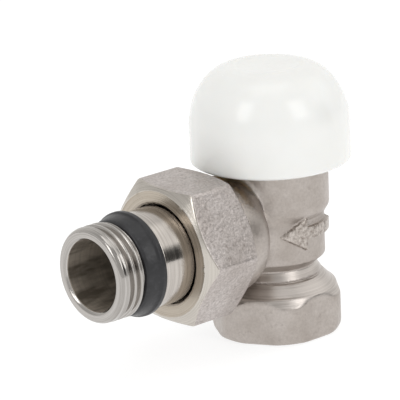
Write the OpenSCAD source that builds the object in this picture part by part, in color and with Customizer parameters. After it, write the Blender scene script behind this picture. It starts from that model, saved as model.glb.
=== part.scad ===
// Angle-pattern thermostatic radiator valve with its protective cap.
// Origin: centre of the inlet's end face. +Z runs up the valve pin, the tailpiece points along -X.

/* [Pipe connections] */
// Major radius of the pipe thread, used at the inlet and on the tailpiece
pipe_thread_r = 10.4775; // [9:0.0001:13]
// Pitch of the pipe threads
pipe_pitch = 1.8143; // [1.3:0.0001:2.2]
// Depth of the pipe thread form
pipe_depth = 1.1617; // [0.8:0.0001:1.4]
// Depth of the inlet thread
inlet_depth = 11; // [8:0.5:14]
// Height of the tailpiece axis above the inlet face
tail_height = 24.9; // [22:0.1:34]
// Distance from the valve axis to the end of the tailpiece
tail_reach = 53; // [48:0.5:70]

/* [Body] */
// Wall between the inlet thread and the spanner flats
base_wall = 3.02; // [1.5:0.01:4]
// Height of the inlet hexagon, up to its upper face
base_h = 10.1; // [8:0.1:12]
// Radius of the valve chamber
chamber_r = 8.7; // [7:0.1:11]
// Wall of the body around the chamber
body_wall = 2.6; // [1.6:0.01:4]
// Wall of the collar that holds the insert
collar_wall = 2.9; // [2:0.1:5]
// Radius of the water way to the radiator
port_r = 7.6; // [6:0.1:9.2]
// Wall of the branch around the water way
port_wall = 1.9; // [1.3:0.1:3]
// Radius of the valve seat's opening
seat_r = 5.6; // [4:0.1:7]
// Height of the raised flow arrow above the body
arrow_rise = 1.1; // [0.4:0.1:2]

/* [Union] */
// Wall between the bore and the root of the thread on the tailpiece
tail_wall = 1.54; // [1:0.01:2.5]
// Step from the thread's crests up to the polished shank
shank_step = 0.27; // [0.1:0.01:1]
// Lip of the nut that pulls on the tailpiece flange
nut_lip = 0.91; // [0.4:0.01:2]
// Wall of the nut outside its thread, at the flats
nut_wall = 1.45; // [1.2:0.01:4]
// Length of the nut
nut_len = 14; // [12:0.1:17]
// Turn of the nut about its axis, in degrees
nut_phase = 57.8; // [0:0.1:60]
// Length of the thread at the tail's end
tail_thread_len = 6.7; // [5:0.1:12]
// Length of the rubber sealing ring
ring_len = 5.2; // [3:0.1:8]

/* [Insert] */
// Radius of the thread for the thermostatic head
head_thread_r = 15; // [14:0.1:20]
// Pitch of the thread for the thermostatic head
head_pitch = 1.5; // [1:0.1:2]
// Length of the thread for the thermostatic head
head_thread_len = 8.6; // [7:0.1:12]
// Radius of the valve stem
stem_r = 2.5; // [2:0.1:3]
// Radius of the actuator pin
pin_r = 1.75; // [1.2:0.05:2.2]
// Travel of the pin from open to closed
lift = 3; // [1.5:0.1:3.6]
// Wire diameter of the return spring
spring_wire = 0.9; // [0.5:0.1:1.1]
// Turns of the return spring
spring_turns = 5; // [3:1:6]

/* [Cap] */
// Wall of the cap outside its thread
cap_wall = 2.5; // [1.5:0.1:4]
// Height of the cap's straight wall
cap_wall_h = 7.15; // [5:0.05:14]
// Height of the rounded part of the cap
cap_dome_h = 13.56; // [11:0.01:18]
// Radius of the flat disc on top of the cap
cap_flat_r = 7.45; // [4:0.05:9]
// Thickness of the cap's top
cap_top_t = 1.9; // [1.2:0.1:3]

/* [Hidden] */
$fn = 96;
EPS = 0.01;
run_gap = 0.06;        // running fit, on the radius
fit_gap = 0.04;        // gap between pieces that are assembled tight
free_gap = 0.15;       // gap between threads and faces that only pass each other
arc_steps = 14;

// radii of the union, the inside before the outside
shank_r = pipe_thread_r + shank_step;
nut_hole_r = shank_r + 0.3;
flange_r = nut_hole_r + nut_lip;
branch_thread_r = flange_r + 0.1 + pipe_depth;
nut_bore_r = branch_thread_r + free_gap;
nut_flat_r = nut_bore_r + nut_wall;
nut_corner_r = nut_flat_r / cos(30);
branch_r = port_r + port_wall;
nose_r = flange_r - 1.9;
nose_hole_r = nose_r + 0.12;

// radii of the cap
cap_bore_r = head_thread_r + free_gap;
cap_r = cap_bore_r + cap_wall;

// body
base_flat_r = pipe_thread_r + base_wall;
base_corner_r = base_flat_r + 1.1;     // the hexagon's corners are turned down to this
neck_r = chamber_r + 0.4;
mid_r = chamber_r + body_wall;
seat_top = tail_height - port_r + 0.6;
seat_web = 1.6;
mid_low = base_h + 7.4;
body_top = tail_height + branch_thread_r + 1.181;
insert_thread_r = chamber_r + 0.8;
insert_pitch = 1;
insert_hole_r = insert_thread_r + 0.1;
collar_r = insert_hole_r + collar_wall;
collar_low = tail_height + 3.7;
insert_shoulder = body_top - 6;

// union, measured from the valve axis along the tail; the nut stays clear of the collar and the cap
nut_back = max(collar_r + 6.6, cap_r + 1.65);
nut_front = nut_back + nut_len;
lip_t = 2.2;
nut_face = nut_front - lip_t;
flange_t = 3.3;
flange_front = nut_face - 0.1;
flange_back = flange_front - flange_t;
branch_end = flange_back - 0.1;
nose_len = 3.6;
nose_end = flange_back - nose_len;
tail_bore_r = pipe_thread_r - pipe_depth - tail_wall;
lug_bore_r = tail_bore_r - 0.3;
thread_start = tail_reach - tail_thread_len;
ring_start = thread_start - ring_len;
ring_floor_r = tail_bore_r + 1.35;
ring_r = shank_r + 0.8;
nose_ring_r = 0.7;     // cross-section radius of the O-ring on the nose

// insert heights
hex_low = body_top + 0.1;
hex_h = 2;
head_low = hex_low + hex_h + 0.8;
head_top = head_low + head_thread_len;
skirt_low = tail_height + 5.1;
guide_t = 1.5;
spring_r = 4.2;        // mean radius of the spring
inner_r = spring_r + spring_wire / 2 + 1.35;
web_low = head_low + 1.6;
web_t = 1.4;
pin_hole_r = pin_r + 0.1;
packing_r = pin_r + 1.65;
packing_low = web_low + web_t;
pin_ring_r = 0.75;     // cross-section radius of the O-ring on the pin
washer_t = 0.7;
gland_low = packing_low + 2 * pin_ring_r + washer_t + 0.1;
gland_thread_r = packing_r + 1.5;
gland_flat_r = gland_thread_r + 1.1;
gland_seal_t = 0.5;
gland_hex_low = head_top + gland_seal_t;
gland_hex_h = 1.8;

// stem, measured at the open position
seal_t = 2;
seal_r = seat_r + 1.6;
cup_rim = 0.6;
seal_low = seat_top + lift + 0.05;
plate_low = seal_low + seal_t;
plate_t = 1.5;
hub_h = 2.2;
stem_low = plate_low + plate_t;
clip_t = 0.6;
cup_t = 1;
clip_low = web_low - 1.2 - clip_t;
cup_low = clip_low - cup_t;
stem_top = web_low - 0.2;
pin_top = gland_hex_low + gland_hex_h + lift + 0.4;
guide_top = skirt_low + guide_t;

// cap heights
cap_low = body_top - 0.8;
cap_side = cap_low + 0.85;
cap_dome_low = cap_side + cap_wall_h;
cap_top = cap_dome_low + cap_dome_h;
disc_low = pin_top + 0.15;
disc_t = 0.8;
disc_r = pin_r + 1.5;
boss_r = disc_r + 1.2;

nickel = "silver";
brass = "goldenrod";
steel = "lightsteelblue";
rubber = "dimgray";

// A ring-shaped solid turned from a list of [radius, height] points
module turned(points) {
    rotate_extrude() polygon(points);
}

// The same solid laid along the tail: height becomes distance from the valve axis
module tail_turned(points) {
    along_tail() turned(points);
}

module along_tail() {
    translate([0, 0, tail_height]) rotate([0, -90, 0]) children();
}

// A plain tube between two heights
module tube(r_in, r_out, low, high) {
    turned([[r_in, low], [r_out, low], [r_out, high], [r_in, high]]);
}

// An O-ring with its centre line at radius r and height z
module o_ring(r, section_r, z) {
    translate([0, 0, z]) rotate_extrude() translate([r, 0]) circle(section_r, $fn = 32);
}

// Points of a quarter of an ellipse, from angle a0 to a1
function arc(cr, cz, a, b, a0, a1) =
    [for (i = [0 : arc_steps]) let (t = a0 + (a1 - a0) * i / arc_steps) [cr + a * cos(t), cz + b * sin(t)]];

// Points down a ring thread's flanks, from high to low, with flat crests and roots
function thread_edge(crest, root, pitch, low, high) =
    let (n = floor((high - low) / pitch))
    [for (i = [n - 1 : -1 : 0]) let (z = low + i * pitch)
        each [[crest, z + pitch], [crest, z + pitch * 0.84], [root, z + pitch * 0.58],
              [root, z + pitch * 0.42], [crest, z + pitch * 0.16], if (i == 0) [crest, z]]];

function reversed(list) = [for (i = [len(list) - 1 : -1 : 0]) list[i]];

module hexagon(flat_r, low, high, corner_turn = 0) {
    translate([0, 0, low]) rotate(corner_turn) cylinder(r = flat_r / cos(30), h = high - low, $fn = 6);
}

/* ---------- body ---------- */

// Outside of the upright part, from the hexagon's upper face to the collar's top
function upright_outline() = concat(
    [[0, base_h - 1], [base_flat_r - 0.2, base_h - 1], [base_flat_r - 0.2, base_h],
     [neck_r + 1.5, base_h + 2.75], [neck_r + 1.35, base_h + 2.85], [neck_r + 1.35, base_h + 3.05],
     [neck_r, mid_low - 2.3], [neck_r, mid_low - 2]],
    arc(mid_r - 0.5, mid_low + 0.05, 0.5, 0.5, -45, 0),
    [[mid_r, collar_low - 2.4], [mid_r + 0.15, collar_low - 1.7], [collar_r - 0.1, collar_low - 0.1],
     [collar_r, collar_low + 0.3], [collar_r, body_top - 0.4], [collar_r - 0.4, body_top], [0, body_top]]);

module base_hexagon() {
    intersection() {
        hexagon(base_flat_r, 0, base_h);
        turned([[0, 0], [base_corner_r - 0.8, 0], [base_corner_r - 0.2, 1.1], [base_corner_r, 2.2],
                [base_corner_r, base_h - 1.7], [base_flat_r - 0.2, base_h], [0, base_h]]);
    }
}

// Branch towards the tailpiece: neck, flare, undercut and thread
module branch_outside() {
    flare = nut_back - 0.9;
    thread_low = nut_back + 0.9;
    tail_turned(concat(
        [[0, 0], [branch_r, 0], [branch_r, mid_r - 0.5]],
        arc(branch_r, flare - 1.2, branch_thread_r - branch_r, flare - 1.2 - mid_r + 0.5, -90, 0),
        [[branch_thread_r, flare], [branch_thread_r - pipe_depth, flare + 0.3]],
        reversed(thread_edge(branch_thread_r, branch_thread_r - pipe_depth, pipe_pitch,
                             thread_low, branch_end - 0.4)),
        [[branch_thread_r - pipe_depth, branch_end], [0, branch_end]]));
}

// Raised arrow on the side of the body, pointing along the flow to the radiator
module flow_arrow() {
    arrow_z = tail_height - 0.8;
    intersection() {
        translate([0, 0, arrow_z - 4]) cylinder(r = mid_r + arrow_rise, h = 8);
        translate([0, 0, arrow_z]) rotate([90, 0, 0]) linear_extrude(mid_r + 2)
            polygon([[-7.2, 0], [-1, 3.9], [-1, 1.4], [8.4, 1.4], [8.4, -1.4], [-1, -1.4], [-1, -3.9]]);
    }
}

// Inlet thread, water ways, seat and the hole that takes the insert
module body_hollow() {
    entry = 0.8;
    root = pipe_thread_r;
    crest = pipe_thread_r - pipe_depth;
    turned(concat(
        [[0, -1], [crest + entry + 1, -1], [crest, entry]],
        reversed(thread_edge(root, crest, pipe_pitch, entry + 0.2, inlet_depth)),
        [[crest, inlet_depth], [crest, inlet_depth + 0.3],
         [seat_r, inlet_depth + 0.3 + (crest - seat_r) * 0.45], [seat_r, seat_top + 1], [0, seat_top + 1]]));
    // chamber with a trough around the raised seat
    turned([[seat_r + 1.2, seat_top - seat_web + 0.8], [chamber_r, seat_top - seat_web + 0.8],
            [chamber_r, insert_shoulder + EPS], [0, insert_shoulder + EPS], [0, seat_top],
            [seat_r + 0.7, seat_top]]);
    turned([[0, insert_shoulder], [insert_hole_r, insert_shoulder], [insert_hole_r, body_top - 1.9],
            [insert_hole_r + 2, body_top + 0.1], [0, body_top + 0.1]]);
    tail_turned([[0, 0], [port_r, 0], [port_r, nose_end - 0.4], [nose_hole_r, nose_end - 0.4],
                 [nose_hole_r, branch_end - 0.7], [nose_hole_r + 0.8, branch_end + 0.1],
                 [0, branch_end + 0.1]]);
}

module valve_body() {
    color(nickel) difference() {
        union() {
            base_hexagon();
            turned(upright_outline());
            branch_outside();
            flow_arrow();
        }
        body_hollow();
    }
}

/* ---------- insert ---------- */

module insert_bonnet() {
    color(brass) difference() {
        union() {
            turned(concat([[0, skirt_low], [chamber_r - 0.3, skirt_low],
                           [chamber_r - 0.3, insert_shoulder + 0.2]],
                reversed(thread_edge(insert_thread_r, insert_thread_r - 0.6, insert_pitch,
                                     insert_shoulder + 0.2, body_top - 1.2)),
                [[insert_thread_r - 0.2, body_top - 1.2], [insert_thread_r - 0.2, hex_low + EPS],
                 [0, hex_low + EPS]]));
            hexagon(collar_r * cos(30), hex_low, hex_low + hex_h);
            turned(concat([[0, hex_low + hex_h - EPS], [collar_r - 0.6, hex_low + hex_h - EPS],
                           [collar_r - 0.6, head_low - 0.3]],
                reversed(thread_edge(head_thread_r, head_thread_r - 0.92, head_pitch,
                                     head_low, head_top - 0.7)),
                [[head_thread_r - 1, head_top], [0, head_top]]));
        }
        turned([[0, skirt_low - 1], [inner_r, skirt_low - 1], [inner_r, web_low], [0, web_low]]);
        translate([0, 0, web_low - 1]) cylinder(r = pin_hole_r, h = web_t + 2);
        turned([[0, packing_low], [packing_r, packing_low], [packing_r, gland_low - 0.3],
                [gland_thread_r + 0.1, gland_low - 0.3], [gland_thread_r + 0.1, head_top + 1],
                [0, head_top + 1]]);
        // weight-saving groove in the top
        tube(gland_flat_r / cos(30) + 1.4, head_thread_r - 3, head_top - 3, head_top + 1);
    }
}

module bonnet_o_ring() {
    section_r = 0.6;
    color(rubber) o_ring(insert_thread_r - 0.2 + fit_gap + section_r, section_r, hex_low - 0.05 - section_r);
}

module stem_guide() {
    color(brass) difference() {
        union() {
            tube(0, inner_r - fit_gap, skirt_low, guide_top);
            tube(0, spring_r - spring_wire / 2 - 0.2, guide_top - EPS, guide_top + 0.8);
        }
        translate([0, 0, skirt_low - 1]) cylinder(r = stem_r + run_gap, h = guide_t + 4);
    }
}

// Compression spring: stacked rings that stand for the coil, each with the pitch between turns
module return_spring() {
    wire_r = spring_wire / 2;
    low = guide_top + wire_r + 0.02;
    high = cup_low - wire_r - 0.02;
    color(steel) for (i = [0 : spring_turns])
        o_ring(spring_r, wire_r, low + (high - low) * i / spring_turns);
}

module pin_o_ring() {
    color(rubber) o_ring(pin_r + 0.05 + pin_ring_r, pin_ring_r, packing_low + pin_ring_r + 0.02);
}

module packing_washer() {
    low = packing_low + 2 * pin_ring_r + 0.05;
    color("white") tube(pin_hole_r, packing_r - fit_gap, low, low + washer_t);
}

module gland_seal() {
    color("firebrick") tube(gland_thread_r + 0.15, gland_flat_r, head_top, gland_hex_low);
}

module gland_nut() {
    high = gland_hex_low + gland_hex_h;
    color(brass) difference() {
        union() {
            turned(concat([[0, gland_low]],
                reversed(thread_edge(gland_thread_r, gland_thread_r - 0.5, 0.8, gland_low, gland_hex_low)),
                [[gland_thread_r - 0.2, gland_hex_low + EPS], [0, gland_hex_low + EPS]]));
            intersection() {
                hexagon(gland_flat_r, gland_hex_low, high);
                turned([[0, gland_hex_low], [gland_flat_r + 1, gland_hex_low], [gland_flat_r + 1, high - 0.6],
                        [gland_flat_r - 0.2, high], [0, high]]);
            }
        }
        translate([0, 0, gland_low - 1]) cylinder(r = pin_hole_r, h = high - gland_low + 2);
    }
}

/* ---------- stem, drawn open ---------- */

module actuator_pin() {
    color(steel) turned([[0, stem_top], [pin_r, stem_top], [pin_r, pin_top - 0.5],
                         [pin_r - 0.5, pin_top], [0, pin_top]]);
}

module valve_stem() {
    groove_r = stem_r - 0.5;
    bore_r = 1.6;
    color(steel) turned([[bore_r, stem_low], [stem_r, stem_low], [stem_r, clip_low], [groove_r, clip_low],
                         [groove_r, clip_low + clip_t], [stem_r, clip_low + clip_t], [stem_r, stem_top],
                         [0, stem_top], [0, stem_low + 6], [bore_r, stem_low + 6]]);
}

module spring_cup() {
    color(brass) tube(stem_r + fit_gap, spring_r + spring_wire / 2 + 0.5, cup_low, clip_low);
}

// Retaining ring with a gap in it
module stem_circlip() {
    color(steel) difference() {
        tube(stem_r - 0.5 + fit_gap, stem_r + 1, clip_low + 0.02, clip_low + clip_t - 0.02);
        translate([0, -0.8, clip_low - 1]) cube([stem_r + 3, 1.6, clip_t + 2]);
    }
}

module disc_holder() {
    hole_r = 1.7;
    color(brass) turned([[hole_r, plate_low], [seal_r + fit_gap, plate_low],
                         [seal_r + fit_gap, seal_low + 0.6], [seal_r + cup_rim, seal_low + 0.6],
                         [seal_r + cup_rim, plate_low + plate_t], [stem_r + 1.4, plate_low + plate_t],
                         [stem_r + 1.1, stem_low + hub_h], [stem_r + fit_gap, stem_low + hub_h],
                         [stem_r + fit_gap, stem_low], [hole_r, stem_low]]);
}

module seal_disc() {
    color(rubber) tube(1.7, seal_r, seal_low, plate_low);
}

module seal_washer() {
    color(steel) tube(1.7, seat_r - 1.4, seal_low - 0.7, seal_low);
}

module seal_screw() {
    head_r = 2.9;
    head_low = seal_low - 0.7 - 1.4;
    color(steel) difference() {
        turned([[0, head_low], [head_r - 0.4, head_low], [head_r, head_low + 0.4], [head_r, seal_low - 0.7],
                [1.55, seal_low - 0.7], [1.55, stem_low + 5], [0, stem_low + 5]]);
        translate([-head_r - 1, -0.4, head_low - 1]) cube([2 * head_r + 2, 0.8, 1.7]);
    }
}

/* ---------- cap ---------- */

module cap_thrust_disc() {
    color(steel) turned([[0, disc_low], [disc_r - 0.2, disc_low], [disc_r, disc_low + 0.2],
                         [disc_r, disc_low + disc_t], [1.2, disc_low + disc_t],
                         [1.2, disc_low + disc_t + 1.1], [0, disc_low + disc_t + 1.1]]);
}

module protective_cap() {
    inner_top = cap_top - cap_top_t;
    boss_low = disc_low + disc_t + 0.05;
    inner_flat = cap_flat_r - 1.9;
    thread_top = max(head_top + 0.8, cap_dome_low + 1);
    inner_dome = arc(inner_flat, thread_top, cap_bore_r - inner_flat, inner_top - thread_top, 0, 90);
    outer_dome = arc(cap_flat_r, cap_dome_low, cap_r - cap_flat_r, cap_dome_h, 0, 90);
    color("white") turned(concat(
        [[cap_bore_r, cap_low], [cap_r - 1.8, cap_low]],
        arc(cap_r - 1.8, cap_side, 1.8, 0.85, -90, 0),
        outer_dome,
        [[0, cap_top], [0, boss_low + 1.2], [1.25, boss_low + 1.2], [1.25, boss_low], [boss_r, boss_low],
         [boss_r, inner_top - 0.4], [boss_r + 0.4, inner_top]],
        reversed(inner_dome)));
}

/* ---------- union ---------- */

module tailpiece() {
    groove_low = nose_end + 0.9;
    groove_high = groove_low + 2 * nose_ring_r + 0.3;
    groove_r = nose_r - 2 * nose_ring_r + 0.05;
    lug_low = flange_back;
    lug_len = 9;
    bore_step = lug_low + lug_len + 0.3;
    color(nickel) {
        tail_turned(concat(
            [[lug_bore_r, nose_end], [nose_r - 0.5, nose_end], [nose_r, nose_end + 0.5],
             [nose_r, groove_low], [groove_r, groove_low], [groove_r, groove_high], [nose_r, groove_high],
             [nose_r, flange_back - 0.4], [nose_r + 0.4, flange_back], [flange_r - 0.3, flange_back],
             [flange_r, flange_back + 0.3], [flange_r, flange_front - 0.4], [flange_r - 0.3, flange_front],
             [shank_r, flange_front], [shank_r, ring_start - 0.3], [shank_r - 0.3, ring_start],
             [ring_floor_r, ring_start], [ring_floor_r, thread_start - 0.3],
             [pipe_thread_r - pipe_depth, thread_start - 0.3]],
            reversed(thread_edge(pipe_thread_r, pipe_thread_r - pipe_depth, pipe_pitch,
                                 thread_start, tail_reach - 1.1)),
            [[pipe_thread_r - 1, tail_reach], [tail_bore_r + 0.4, tail_reach],
             [tail_bore_r, tail_reach - 0.4], [tail_bore_r, bore_step], [lug_bore_r, bore_step]]));
        // two lugs in the bore that take the fitting key
        along_tail() intersection() {
            for (a = [0, 180]) rotate(a)
                translate([lug_bore_r - 1, -1.4, lug_low]) cube([1.6, 2.8, lug_len]);
            translate([0, 0, lug_low - 1]) cylinder(r = lug_bore_r + 0.3, h = lug_len + 2);
        }
    }
}

module tail_o_ring() {
    color(rubber) along_tail()
        o_ring(nose_r - nose_ring_r + 0.05, nose_ring_r - 0.03, nose_end + 0.9 + nose_ring_r + 0.15);
}

module tail_seal_ring() {
    high = thread_start - 0.35;
    color(rubber) tail_turned([[ring_floor_r + fit_gap, ring_start + 0.03], [ring_r - 0.4, ring_start + 0.03],
                               [ring_r, ring_start + 0.4], [ring_r - 0.05, ring_start + 1.4],
                               [ring_r - 0.35, ring_start + 1.7], [ring_r - 1.1, high - 0.5],
                               [ring_r - 1.5, high], [ring_floor_r + fit_gap, high]]);
}

module union_nut() {
    slope = tan(30);
    face_r = nut_flat_r - 0.9;
    color(nickel) along_tail() difference() {
        intersection() {
            hexagon(nut_flat_r, nut_back, nut_front, 90 + nut_phase);
            turned([[0, nut_back], [nut_flat_r - 0.1, nut_back],
                    [nut_corner_r + 0.1, nut_back + (nut_corner_r - nut_flat_r + 0.2) * slope],
                    [nut_corner_r + 0.1, nut_front - (nut_corner_r - face_r + 0.1) * slope],
                    [face_r, nut_front], [0, nut_front]]);
        }
        turned([[0, nut_back - 1], [nut_bore_r + 0.6, nut_back - 1], [nut_bore_r + 0.6, nut_back],
                [nut_bore_r, nut_back + 0.6], [nut_bore_r, branch_end + 0.1],
                [flange_r + free_gap, branch_end + 0.6], [flange_r + free_gap, nut_face], [0, nut_face]]);
        turned([[0, nut_face - 1], [nut_hole_r, nut_face - 1], [nut_hole_r, nut_front - 0.4],
                [nut_hole_r + 0.5, nut_front + 0.1], [0, nut_front + 0.1]]);
    }
}

valve_body();
insert_bonnet();
bonnet_o_ring();
stem_guide();
return_spring();
pin_o_ring();
packing_washer();
gland_seal();
gland_nut();
actuator_pin();
valve_stem();
spring_cup();
stem_circlip();
disc_holder();
seal_disc();
seal_washer();
seal_screw();
cap_thrust_disc();
protective_cap();
tailpiece();
tail_o_ring();
tail_seal_ring();
union_nut();
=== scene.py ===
"""Looks of an angle thermostatic radiator valve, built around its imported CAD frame.

Sizes below are in millimetres in the row frame: +Z up the valve axis, the tailpiece along -X.
"""
import math

import bpy
import numpy as np
import openvdb
from mathutils import Matrix, Vector


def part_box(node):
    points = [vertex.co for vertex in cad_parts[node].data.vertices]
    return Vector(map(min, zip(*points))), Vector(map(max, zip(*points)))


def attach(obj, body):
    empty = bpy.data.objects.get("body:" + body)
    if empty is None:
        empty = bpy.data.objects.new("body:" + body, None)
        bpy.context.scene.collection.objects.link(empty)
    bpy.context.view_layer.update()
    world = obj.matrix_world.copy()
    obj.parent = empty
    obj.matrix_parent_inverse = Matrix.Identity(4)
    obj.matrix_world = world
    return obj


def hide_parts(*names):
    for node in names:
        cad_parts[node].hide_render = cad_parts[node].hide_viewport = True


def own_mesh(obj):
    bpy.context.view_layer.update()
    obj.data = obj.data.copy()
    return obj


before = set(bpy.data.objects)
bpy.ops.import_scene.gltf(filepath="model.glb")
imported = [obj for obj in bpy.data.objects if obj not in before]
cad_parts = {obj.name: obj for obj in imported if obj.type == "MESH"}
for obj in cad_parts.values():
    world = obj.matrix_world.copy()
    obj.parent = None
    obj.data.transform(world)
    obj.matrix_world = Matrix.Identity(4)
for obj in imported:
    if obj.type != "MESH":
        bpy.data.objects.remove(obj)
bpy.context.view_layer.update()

MM = 0.001
COLUMNS = 144           # columns of points round a turned piece
THREAD_ROWS = 16        # rows of points in one pitch of a thread
THREAD_FLAT = 0.16      # the root's and the crest's share of half a pitch
TAU = 2 * math.pi


def box_mm(node):
    low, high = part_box(node)
    return low / MM, high / MM


# ---------- sizes read from the frame ----------
tail_low, tail_high = box_mm("tailpiece")
nut_low, nut_high = box_mm("union_nut")
cap_low, cap_high = box_mm("protective_cap")
ring_low, ring_high = box_mm("tail_seal_ring")
spring_low, spring_high = box_mm("return_spring")

AXIS_Z = (tail_low.z + tail_high.z) / 2     # height of the tail's axis
REACH = -tail_low.x                         # valve axis to the tail's end
NOSE_END = -tail_high.x
NUT_BACK, NUT_FRONT = -nut_high.x, -nut_low.x
CAP_R, CAP_LOW, CAP_TOP = cap_high.x, cap_low.z, cap_high.z
BODY_TOP = box_mm("valve_body")[1].z
INSERT_LOW = box_mm("insert_bonnet")[0].z
RING_START, RING_END, RING_R = -ring_high.x, -ring_low.x, ring_high.y

# ---------- sizes repeated from the CAD source ----------
PIPE_R, PIPE_PITCH, PIPE_DEPTH = 10.4775, 1.8143, 1.1617
HEAD_R, HEAD_PITCH, HEAD_DEPTH = 15.0, 1.5, 0.92
BASE_FLAT_R, BASE_CORNER_R, BASE_H = 13.4975, 14.5975, 10.1
CHAMBER_R, PORT_R, SEAT_R = 8.7, 7.6, 5.6
NECK_R, MID_R, MID_LOW = 9.1, 11.3, 17.5
COLLAR_R, COLLAR_LOW = 12.5, 28.6
BRANCH_R, BRANCH_THREAD_R, BRANCH_END = 9.5, 13.219, 27.6
NOSE_HOLE_R = 10.18
INSERT_HOLE_R, INSERT_SHOULDER = 9.6, 33.3
SEAT_TOP = 17.9
SHANK_R, NOSE_R, FLANGE_R = 10.7475, 10.06, 11.958
FLANGE_BACK, FLANGE_FRONT = 27.7, 31.0
TAIL_BORE_R, LUG_BORE_R, BORE_STEP = 7.776, 7.476, 37.0
RING_FLOOR_R, THREAD_START = 9.126, 46.3
NUT_FLAT_R, NUT_PHASE = 14.82, 57.8
NUT_HOLE_R, NUT_BORE_R, NUT_FACE = 11.0475, 13.369, 31.1
CAP_BORE_R, CAP_SIDE, CAP_DOME_LOW, CAP_FLAT_R = 15.15, 39.35, 46.5, 7.45
HEAD_LOW, HEAD_TOP = 42.2, 50.8
HEX_LOW, HEX_H = 39.4, 2.0


# ---------- profiles ----------
NEARLY_STRAIGHT = 0.97      # cosine of a bend that needs no rounding
LONGEST_CUT = 0.4           # share of a side that the rounding of one corner may take


def soften(points, radius, closed=True):
    """Rounds the corners of a profile of (r, z) points; corners on the axis stay."""
    out = []
    count = len(points)
    for i, p in enumerate(points):
        if (not closed and i in (0, count - 1)) or p[0] < 1e-6:
            out.append(p)
            continue
        a, b = np.array(points[i - 1], float), np.array(points[(i + 1) % count], float)
        q = np.array(p, float)
        la, lb = np.linalg.norm(a - q), np.linalg.norm(b - q)
        cut = min(radius, LONGEST_CUT * la, LONGEST_CUT * lb)
        bend = np.dot((q - a) / la, (b - q) / lb)
        if bend > NEARLY_STRAIGHT:
            out.append(tuple(q))
            continue
        start, end = q + (a - q) / la * cut, q + (b - q) / lb * cut
        for t in (0, 0.25, 0.5, 0.75, 1):
            out.append(tuple((1 - t) ** 2 * start + 2 * t * (1 - t) * q + t * t * end))
    return out


def arc(cr, cz, a, b, start, end, steps=24):
    """Points of an elliptical arc, angles in degrees."""
    turns = np.radians(np.linspace(start, end, steps + 1))
    return [(cr + a * math.cos(t), cz + b * math.sin(t)) for t in turns]


# ---------- meshes ----------
class Skin:
    """Points and faces round one axis. Rows are in (radius, distance along the axis)."""

    def __init__(self, columns=None):
        uniform = np.arange(COLUMNS) / COLUMNS * TAU
        self.turn = uniform if columns is None else np.asarray(columns, float)
        self.points, self.faces = [], []

    def put(self, r, s):
        """Adds one row of points and returns their numbers."""
        first = len(self.points)
        n = len(self.turn)
        r, s = np.broadcast_to(r, n), np.broadcast_to(s, n)
        self.points += list(zip(r * np.cos(self.turn), r * np.sin(self.turn), s))
        return list(range(first, first + n))

    def strip(self, a, b):
        n = len(a)
        for j in range(n):
            k = (j + 1) % n
            self.faces.append((a[j], a[k], b[k], b[j]))

    def rows(self, profile, closed=True):
        """Skins a profile of (r, s) rows; r and s are numbers or one value a column."""
        numbers = [self.put(r, s) for r, s in profile]
        for a, b in zip(numbers, numbers[1:]):
            self.strip(a, b)
        if closed:
            self.strip(numbers[-1], numbers[0])

    def thread(self, low, high, crest, depth, pitch, envelope, inside=False, filled=None):
        """A right-handed thread between two heights, cut back to its envelope at both ends.

        filled lists (height, radius) points below which the grooves of an outside thread run out.
        """
        n = len(self.turn)
        rows = int(math.ceil((high - low) / pitch + 2) * THREAD_ROWS)
        numbers = []
        for i in range(rows + 1):
            phase = i / THREAD_ROWS
            s = np.clip(low - pitch + (phase + self.turn / TAU) * pitch, low, high)
            u = abs((phase % 1) - 0.5) * 2
            u = min(max((u - THREAD_FLAT) / (1 - 2 * THREAD_FLAT), 0), 1)
            full = u * u * (3 - 2 * u)
            r = crest + depth * (1 - full) if inside else crest - depth * (1 - full)
            limit = np.interp(s, [e[0] for e in envelope], [e[1] for e in envelope])
            if filled:
                r = np.maximum(r, np.interp(s, [f[0] for f in filled], [f[1] for f in filled]))
            r = np.maximum(r, limit) if inside else np.minimum(r, limit)
            numbers.append(self.put(r, s))
        for i in range(rows):
            for j in range(n - 1):
                self.faces.append((numbers[i][j], numbers[i][j + 1],
                                   numbers[i + 1][j + 1], numbers[i + 1][j]))
            if i + THREAD_ROWS < rows:
                self.faces.append((numbers[i][-1], numbers[i + THREAD_ROWS][0],
                                   numbers[i + THREAD_ROWS + 1][0], numbers[i + 1][-1]))

    def block(self, corners):
        """A closed eight-cornered block: four corners below, four above."""
        first = len(self.points)
        self.points += [tuple(c) for c in corners]
        ends = ((3, 2, 1, 0), (4, 5, 6, 7))
        sides = ((0, 1, 5, 4), (1, 2, 6, 5), (2, 3, 7, 6), (3, 0, 4, 7))
        self.faces += [tuple(first + k for k in f) for f in ends + sides]


def weld(points, faces, grain=2e-4):
    """Joins points that round to the same grain, and drops the faces that this empties."""
    points = np.asarray(points, float)
    keys = np.round(points / grain).astype(np.int64)
    _, first, to = np.unique(keys, axis=0, return_index=True, return_inverse=True)
    to = to.reshape(-1)
    kept, seen = [], set()
    for f in faces:
        g = [to[k] for k in f]
        g = [v for k, v in enumerate(g) if v != g[k - 1]]
        mark = tuple(sorted(g))
        if len(set(g)) >= 3 and len(set(g)) == len(g) and mark not in seen:
            seen.add(mark)
            kept.append(g)
    return points[first], kept


FACE_WEIGHT = 60        # how much more the large faces count in the smooth normals
UP = Matrix.Identity(4)
# Distance along the axis becomes -X, and turning by 0 degrees points up
ALONG_TAIL = Matrix(((0, 0, -1, 0), (0, 1, 0, 0), (1, 0, 0, AXIS_Z), (0, 0, 0, 1)))


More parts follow.
